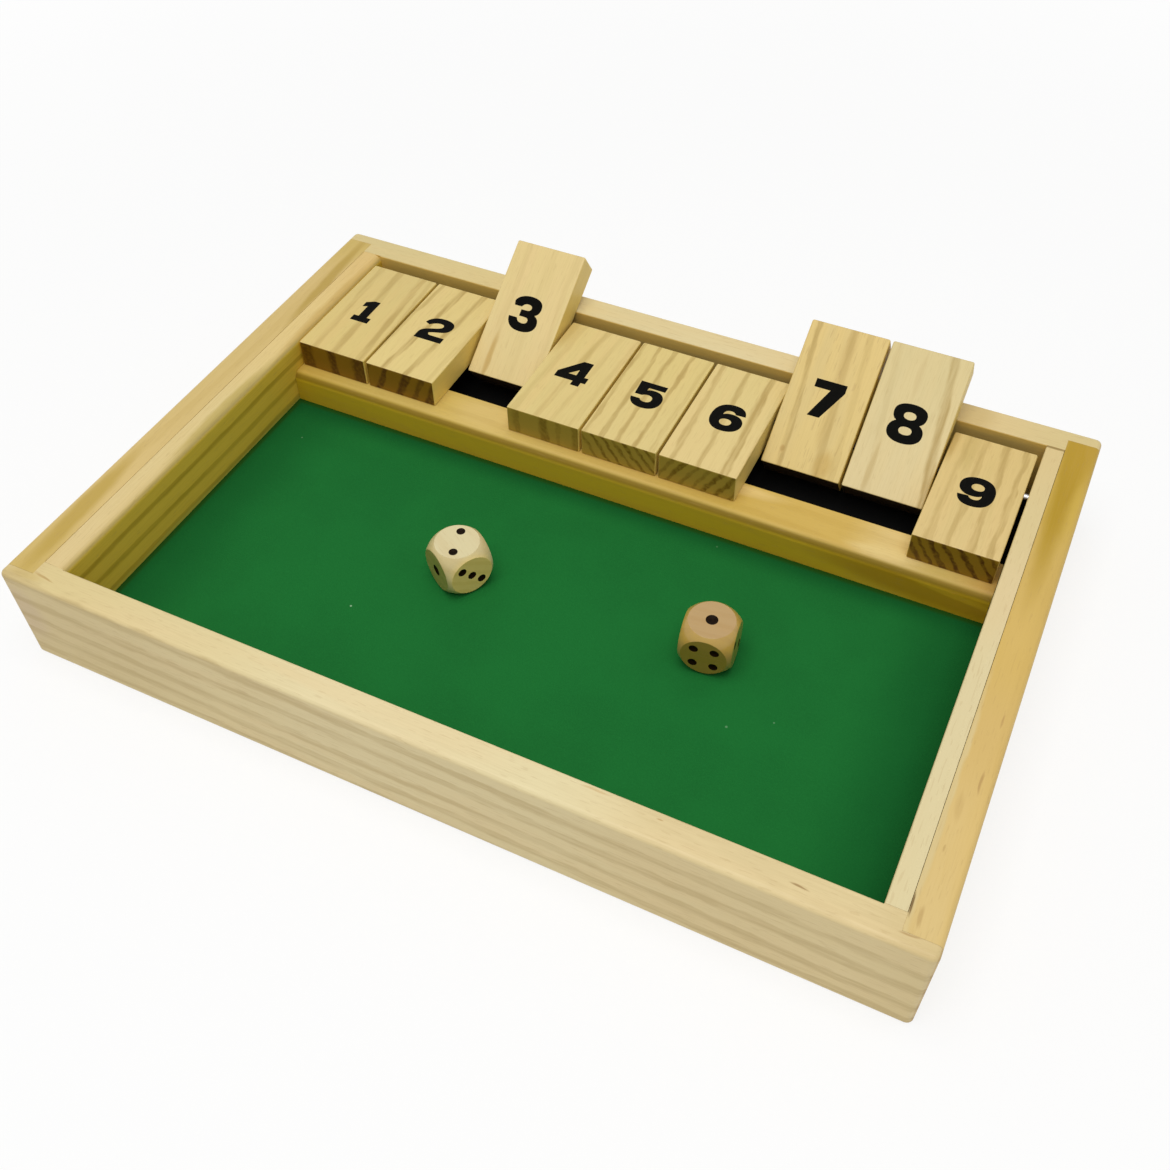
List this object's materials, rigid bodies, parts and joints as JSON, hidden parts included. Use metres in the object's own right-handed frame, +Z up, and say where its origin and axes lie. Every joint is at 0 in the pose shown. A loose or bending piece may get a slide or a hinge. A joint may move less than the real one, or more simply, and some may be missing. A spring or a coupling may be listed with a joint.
{
  "type": "shut the box game",
  "caption": "Wooden dice tray with a row of numbered flip tiles on a steel rod over a black pit, a green felt floor and loose wooden dice.",
  "frame": {"origin": "centre of the footprint on the table, counted with the raised tiles' reach behind the back rail", "axes": "+X to the right along the row of tiles, +Y from the player to the back rail, +Z up"},
  "size_m": [0.28, 0.197, 0.0531],
  "materials": {
    "front_wood": "clear satin lacquer over pale pine, grey-beige",
    "pale_wood": "clear satin lacquer over pale pine",
    "yellow_wood": "clear satin lacquer over yellow pine",
    "panel_wood": "bare plywood",
    "tile_wood": "clear satin lacquer over striped pine",
    "cream_wood": "polished cream wood, black pips",
    "tan_wood": "polished tan wood, black pips",
    "green_felt": "smooth green felt",
    "black_lining": "black felt",
    "rod_steel": "drawn steel wire"
  },
  "bodies": {
    "box": {"front_rail": "front_wood", "back_rail": "pale_wood", "left_wall": "yellow_wood", "right_wall": "yellow_wood", "left_liner": "pale_wood", "right_liner": "pale_wood", "divider_rail": "yellow_wood", "base_panel": "panel_wood", "play_surface": "green_felt", "pit_lining": "black_lining", "pivot_rod": "rod_steel"},
    "tile_1": {"tile_1": "tile_wood"},
    "tile_2": {"tile_2": "tile_wood"},
    "tile_3": {"tile_3": "tile_wood"},
    "tile_4": {"tile_4": "tile_wood"},
    "tile_5": {"tile_5": "tile_wood"},
    "tile_6": {"tile_6": "tile_wood"},
    "tile_7": {"tile_7": "tile_wood"},
    "tile_8": {"tile_8": "tile_wood"},
    "tile_9": {"tile_9": "tile_wood"},
    "cream_die": {"cream_die": "cream_wood"},
    "tan_die": {"tan_die": "tan_wood"}
  },
  "joints": [
    {"name": "tile_1_turn", "type": "hinge", "parent": "box", "child": "tile_1", "pos_m": [-0.1091, 0.06603, 0.0295], "axis": [-1, 0, 0], "range_deg": [0, 146.08]},
    {"name": "tile_2_turn", "type": "hinge", "parent": "box", "child": "tile_2", "pos_m": [-0.08175, 0.06603, 0.0295], "axis": [-1, 0, 0], "range_deg": [0, 146.08]},
    {"name": "tile_3_turn", "type": "hinge", "parent": "box", "child": "tile_3", "pos_m": [-0.0544, 0.06603, 0.0295], "axis": [-1, 0, 0], "range_deg": [-146.08, 0]},
    {"name": "tile_4_turn", "type": "hinge", "parent": "box", "child": "tile_4", "pos_m": [-0.02705, 0.06603, 0.0295], "axis": [-1, 0, 0], "range_deg": [0, 146.08]},
    {"name": "tile_5_turn", "type": "hinge", "parent": "box", "child": "tile_5", "pos_m": [0.0003, 0.06603, 0.0295], "axis": [-1, 0, 0], "range_deg": [0, 146.08]},
    {"name": "tile_6_turn", "type": "hinge", "parent": "box", "child": "tile_6", "pos_m": [0.02765, 0.06603, 0.0295], "axis": [-1, 0, 0], "range_deg": [0, 146.08]},
    {"name": "tile_7_turn", "type": "hinge", "parent": "box", "child": "tile_7", "pos_m": [0.055, 0.06603, 0.0295], "axis": [-1, 0, 0], "range_deg": [-146.08, 0]},
    {"name": "tile_8_turn", "type": "hinge", "parent": "box", "child": "tile_8", "pos_m": [0.08235, 0.06603, 0.0295], "axis": [-1, 0, 0], "range_deg": [-146.08, 0]},
    {"name": "tile_9_turn", "type": "hinge", "parent": "box", "child": "tile_9", "pos_m": [0.1097, 0.06603, 0.0295], "axis": [-1, 0, 0], "range_deg": [0, 146.08]},
    {"name": "cream_die_lift", "type": "slide", "parent": "box", "child": "cream_die", "axis": [0, 0, 1], "range_m": [0, 0.06]},
    {"name": "tan_die_lift", "type": "slide", "parent": "box", "child": "tan_die", "axis": [0, 0, 1], "range_m": [0, 0.06]}
  ]
}
